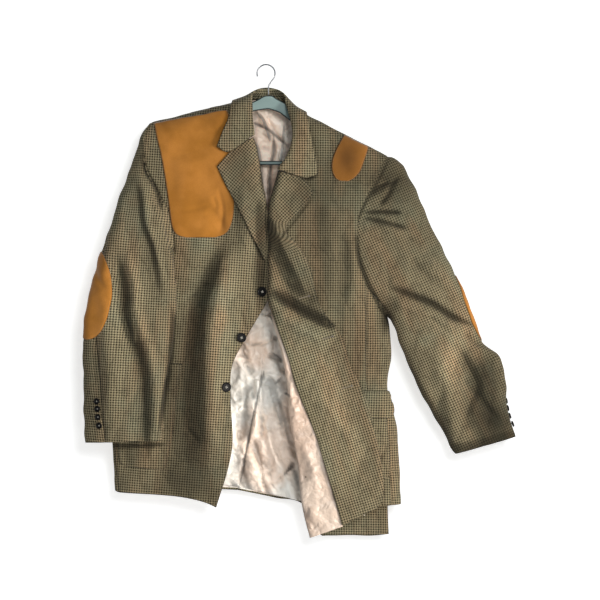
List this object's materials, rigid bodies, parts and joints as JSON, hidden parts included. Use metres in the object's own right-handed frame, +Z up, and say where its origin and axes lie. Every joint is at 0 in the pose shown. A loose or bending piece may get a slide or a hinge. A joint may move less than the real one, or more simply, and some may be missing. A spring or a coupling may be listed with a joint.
{
  "type": "sport jacket on a hanger",
  "caption": "Small-check wool sport jacket with suede shoulder and elbow patches, hanging open on a flat plastic hanger with a wire hook.",
  "frame": {"origin": "inside top of the hanger's hook, where a rail touches it", "axes": "+Z up, away from the jacket, along its longest side; -Y the way the jacket's front faces; +X to the wearer's left"},
  "size_m": [0.8923, 0.1329, 0.9762],
  "materials": {
    "wool_check": "small two-colour check, woven wool, dry and matt",
    "satin_lining": "smooth pale satin lining with a soft sheen",
    "suede_patch": "tan suede, napped and stitched round the edge",
    "button_horn": "near-black turned buttons, polished rim",
    "hanger_teal": "grey-green moulded plastic, satin",
    "hook_steel": "bright plated wire"
  },
  "bodies": {
    "root": {"front_left": "wool_check", "front_right": "wool_check", "back_left": "wool_check", "back_right": "wool_check", "side_left": "wool_check", "side_right": "wool_check", "sleeve_left_top": "wool_check", "sleeve_left_under": "wool_check", "sleeve_right_top": "wool_check", "sleeve_right_under": "wool_check", "collar": "wool_check", "lapel_right": "wool_check", "facing_left": "wool_check", "pocket_left": "wool_check", "pocket_right": "wool_check", "flap_left": "wool_check", "flap_right": "wool_check", "lining_back_left": "satin_lining", "lining_back_right": "satin_lining", "lining_front_left": "satin_lining", "shoulder_patch_right": "suede_patch", "shoulder_patch_left": "suede_patch", "elbow_patch_right": "suede_patch", "elbow_patch_left": "suede_patch", "front_button_1": "button_horn", "front_button_2": "button_horn", "front_button_3": "button_horn", "cuff_button_left_1": "button_horn", "cuff_button_left_2": "button_horn", "cuff_button_left_3": "button_horn", "cuff_button_left_4": "button_horn", "cuff_button_right_1": "button_horn", "cuff_button_right_2": "button_horn", "cuff_button_right_3": "button_horn", "cuff_button_right_4": "button_horn", "hanger_frame": "hanger_teal", "hanger_hook": "hook_steel"}
  },
  "joints": []
}
